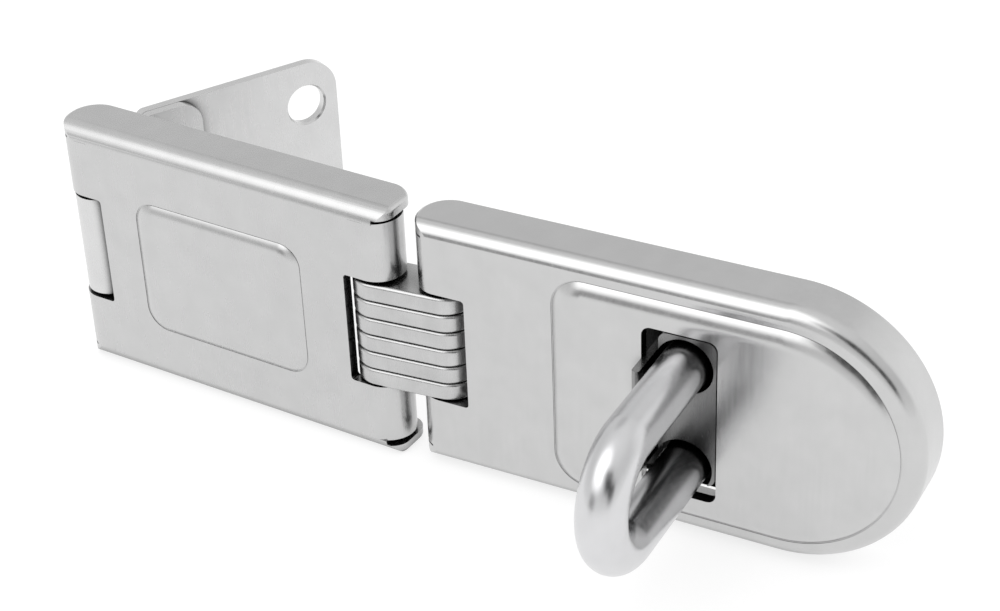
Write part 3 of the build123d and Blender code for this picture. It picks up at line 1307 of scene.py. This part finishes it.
@dataclass
class StapleBase:
    """The base that the staple stands on, with its boss and lip."""

    centre: float = STAPLE_AT
    sheet: float = BASE_SHEET
    length: float = 40.0
    height: float = 47.0
    corner: float = 4.0
    boss_start: float = 50.4
    boss_length: float = 12.2
    boss_low: float = -15.2
    boss_high: float = 18.4
    boss_front: float = FRONT - HASP_PANEL_RISE + 0.3
    boss_corner: float = 2.0
    boss_steps: int = 8
    boss_wall: float = 2.2
    leg_room: float = 6.1
    leg_spacing: float = LEG_SPACING
    lip_start: float = 47.25
    lip_thickness: float = 1.6
    lip_height: float = 24.0
    lip_front: float = FRONT - HASP_PANEL_RISE - 5.6
    lip_rounding: float = 0.45
    lip_steps: int = 6
    screw_radius: float = 2.6
    screw_head_radius: float = 4.9
    screw_inset: float = 6.0
    broken_edge: float = 0.25

    def build(self, chain: Chain, finishes: Finishes) -> bpy.types.Object:
        """Make the base and put it in place.

        Args:
            chain: Where the pins stand.
            finishes: The pieces' materials.

        Returns:
            The finished base.
        """
        face = WALL - self.sheet
        left, right = self.centre - self.length / 2, self.centre + self.length / 2
        outline = rounded_rectangle(left, right, -self.height / 2, self.height / 2, (self.corner,) * 4)
        base = prism("staple_foot_plate", outline, face, WALL, Facing.FRONT)
        boss = rounded_rectangle(self.boss_start, self.boss_start + self.boss_length, self.boss_low,
                                 self.boss_high, (self.boss_corner,) * 4, self.boss_steps)
        combine(base, prism("boss", boss, self.boss_front, face + FACE_LAP, Facing.FRONT), Cut.JOIN)
        tip = self.lip_thickness * self.lip_rounding
        lip = rounded_rectangle(self.lip_start, self.lip_start + self.lip_thickness, self.lip_front,
                                face + FACE_LAP, (tip, tip, 0, 0), self.lip_steps)
        combine(base, prism("lip", lip, -self.lip_height / 2, self.lip_height / 2, Facing.TOP), Cut.JOIN)
        for height in (-self.leg_spacing / 2, self.leg_spacing / 2):
            room = prism("leg room", circle((self.centre, height), self.leg_room, FINE_CIRCLE),
                         self.boss_front - OVERSHOOT, face, Facing.FRONT)
            combine(base, room, Cut.REMOVE)
        for side in (-1, 1):
            for up in (-1, 1):
                combine(base, self.sink(side, up, face), Cut.REMOVE)
        pocket = self.leg_spacing / 2 - self.leg_room - self.boss_wall
        hollow = block(self.boss_start + self.boss_wall, self.boss_start + self.boss_length - self.boss_wall,
                       self.boss_front + self.boss_wall, WALL + OVERSHOOT, -pocket, pocket)
        combine(base, hollow, Cut.REMOVE)
        soften_edges(base, self.broken_edge)
        for height in (-self.leg_spacing / 2, self.leg_spacing / 2):
            combine(base, Staple().rivet(height, 0.0), Cut.REMOVE)
        smooth_shade(base)
        return place(base, chain.hasp, finishes.foot, "hasp", "plated_sheet", ["staple_base"])

    def sink(self, side: int, up: int, face: float) -> bpy.types.Object:
        """The countersunk hole at one corner, as a cutter.

        Args:
            side: 1 for the far side, -1 for the near side.
            up: 1 for the upper corner, -1 for the lower one.
            face: The depth of the base's front.

        Returns:
            The cutter.
        """
        spot = (self.centre + side * (self.length / 2 - self.screw_inset),
                up * (self.height / 2 - self.screw_inset))
        slope = self.screw_head_radius - self.screw_radius
        levels = [(face - FACE_LAP, self.screw_head_radius + FACE_LAP), (face + slope, self.screw_radius),
                  (WALL + OVERSHOOT, self.screw_radius)]
        return turned("sink", spot, levels, HOLE_CIRCLE)


@dataclass(frozen=True)
class Glow:
    """A soft round patch of the room, lighter or darker than the rest; inner and outer are in degrees."""

    direction: tuple[float, float, float]
    inner: float
    outer: float
    strength: float


@dataclass
class Studio:
    """The pale floor, the room that lights the hasp, and the camera."""

    floor_height: float = -30.0
    camera_place: tuple[float, float, float] = (-211.6, -434.6, 257.5)
    azimuth: float = -31.2
    elevation: float = 32.06
    roll: float = -2.41
    lens: float = 82.76
    sensor: float = 36.0
    nearest: float = 0.01
    farthest: float = 20.0
    floor_reach: float = 4.0
    floor_grey: float = 0.3
    floor_roughness: float = 0.9
    floor_glow: float = 0.8
    least_light: float = 0.03
    room_steps: tuple[Point, ...] = ((0.0, 0.95), (0.1, 0.9), (0.35, 0.76), (0.6, 0.77), (1.0, 0.95))
    glows: tuple[Glow, ...] = (
        Glow((-0.62, -0.02, 0.79), 8.0, 36.0, 1.2),
        Glow((0.9, -0.2, 0.35), 8.0, 30.0, 0.25),
        Glow((0.28, 0.6, 0.75), 4.0, 15.0, -0.25),
        Glow((-0.97, -0.08, 0.14), 5.0, 17.0, -0.5),
        Glow((-0.50, -0.45, 0.74), 4.0, 13.0, -0.95),
        Glow((-0.38, -0.72, 0.58), 6.0, 17.0, -0.95),
        Glow((-0.18, -0.93, 0.3), 5.0, 15.0, -0.95),
    )

    def camera(self) -> None:
        """Set the camera where the photograph was taken from."""
        turn, tilt, roll = (math.radians(angle) for angle in (self.azimuth, self.elevation, self.roll))
        right = Vector((math.cos(turn), math.sin(turn), 0))
        back = Vector((math.sin(turn) * math.cos(tilt), -math.cos(turn) * math.cos(tilt), math.sin(tilt)))
        up = back.cross(right)
        side = math.cos(roll) * right + math.sin(roll) * up
        head = -math.sin(roll) * right + math.cos(roll) * up
        data = bpy.data.cameras.new("camera")
        data.sensor_width = self.sensor
        data.lens = self.lens
        data.clip_start = self.nearest
        data.clip_end = self.farthest
        camera = bpy.data.objects.new("camera", data)
        bpy.context.scene.collection.objects.link(camera)
        axes = Matrix((side, head, back)).transposed().to_4x4()
        camera.matrix_world = Matrix.Translation(Vector(self.camera_place) * MM) @ axes
        bpy.context.scene.camera = camera

    def floor(self) -> None:
        """Lay a wide floor under the hasp, white to the camera and in the metal, with a soft shadow."""
        height = self.floor_height * MM
        reach = self.floor_reach
        mesh = bpy.data.meshes.new("floor")
        corners = [(-reach, -reach, height), (reach, -reach, height),
                   (reach, reach, height), (-reach, reach, height)]
        mesh.from_pydata(corners, [], [(0, 1, 2, 3)])
        floor = new_object("floor", mesh)
        material = bpy.data.materials.new("pale_floor")
        material.use_nodes = True
        tree = material.node_tree
        shader = tree.nodes["Principled BSDF"]
        shader.inputs["Base Color"].default_value = (self.floor_grey, self.floor_grey, self.floor_grey, 1)
        shader.inputs["Roughness"].default_value = self.floor_roughness
        shader.inputs["Specular IOR Level"].default_value = 0.0
        shader.inputs["Emission Color"].default_value = (1, 1, 1, 1)
        ray = tree.nodes.new("ShaderNodeLightPath")
        shown = ray.outputs["Is Camera Ray"]
        for kind in ("Is Glossy Ray", "Is Transmission Ray"):
            shown = calculate(tree, Calculation.GREATER, shown, ray.outputs[kind])
        glow = calculate(tree, Calculation.TIMES, shown, self.floor_glow)
        tree.links.new(glow, shader.inputs["Emission Strength"])
        mesh.materials.append(material)

    def world(self) -> None:
        """A pale grey room with lighter and darker places, the same for the camera and the metal."""
        world = bpy.data.worlds.new("studio")
        bpy.context.scene.world = world
        world.use_nodes = True
        tree = world.node_tree
        back = tree.nodes["Background"]
        back.inputs["Color"].default_value = (1, 1, 1, 1)
        facing = tree.nodes.new("ShaderNodeTexCoord").outputs["Generated"]
        height = tree.nodes.new("ShaderNodeSeparateXYZ")
        tree.links.new(facing, height.inputs["Vector"])
        level = tree.nodes.new("ShaderNodeValToRGB")
        stops = level.color_ramp.elements
        while len(stops) < len(self.room_steps):
            stops.new(0.5)
        for stop, (up, grey) in zip(stops, self.room_steps):
            stop.position = up
            stop.color = (grey, grey, grey, 1)
        tree.links.new(height.outputs["Z"], level.inputs["Fac"])
        total = level.outputs["Color"]
        for glow in self.glows:
            total = self.add_glow(tree, facing, total, glow)
        strength = calculate(tree, Calculation.GREATER, total, self.least_light)
        tree.links.new(strength, back.inputs["Strength"])

    @staticmethod
    def add_glow(tree: bpy.types.NodeTree, facing: bpy.types.NodeSocket, total: bpy.types.NodeSocket,
                 glow: Glow) -> bpy.types.NodeSocket:
        """Make one soft round patch of the room lighter or darker.

        Args:
            tree: The world's node tree.
            facing: The direction in which the room is looked at.
            total: The light so far.
            glow: The patch.

        Returns:
            The light with the patch.
        """
        aim = Vector(glow.direction).normalized()
        match = tree.nodes.new("ShaderNodeVectorMath")
        match.operation = "DOT_PRODUCT"
        match.inputs[1].default_value = aim
        tree.links.new(facing, match.inputs[0])
        soft = tree.nodes.new("ShaderNodeMapRange")
        soft.interpolation_type = "SMOOTHSTEP"
        soft.inputs["From Min"].default_value = math.cos(math.radians(glow.outer))
        soft.inputs["From Max"].default_value = math.cos(math.radians(glow.inner))
        soft.inputs["To Max"].default_value = glow.strength
        tree.links.new(match.outputs["Value"], soft.inputs["Value"])
        return calculate(tree, Calculation.PLUS, total, soft.outputs["Result"])

    def build(self) -> None:
        """Set the whole studio."""
        self.camera()
        self.floor()
        self.world()
        bpy.context.scene.view_settings.view_transform = "Standard"


def dress_pins(finishes: Finishes) -> None:
    """Give the hidden pins their finish.

    Args:
        finishes: The pieces' materials.
    """
    for name in ("plate_pin", "leaf_link_pin", "hasp_link_pin"):
        node = frame["nodes"][name]
        node.data.materials.clear()
        node.data.materials.append(finishes.pins)


def main() -> None:
    """Build every piece in order, then the studio."""
    logging.basicConfig(level=logging.INFO)
    finishes = Finishes()
    chain = Chain()
    MountingPlate().build(chain, finishes)
    LeafCover().build(chain, finishes)
    LinkPack().build(chain, finishes)
    HaspCover().build(chain, finishes)
    Staple().build(chain, finishes)
    StapleBase().build(chain, finishes)
    dress_pins(finishes)
    Studio().build()


if __name__ == "__main__":
    main()
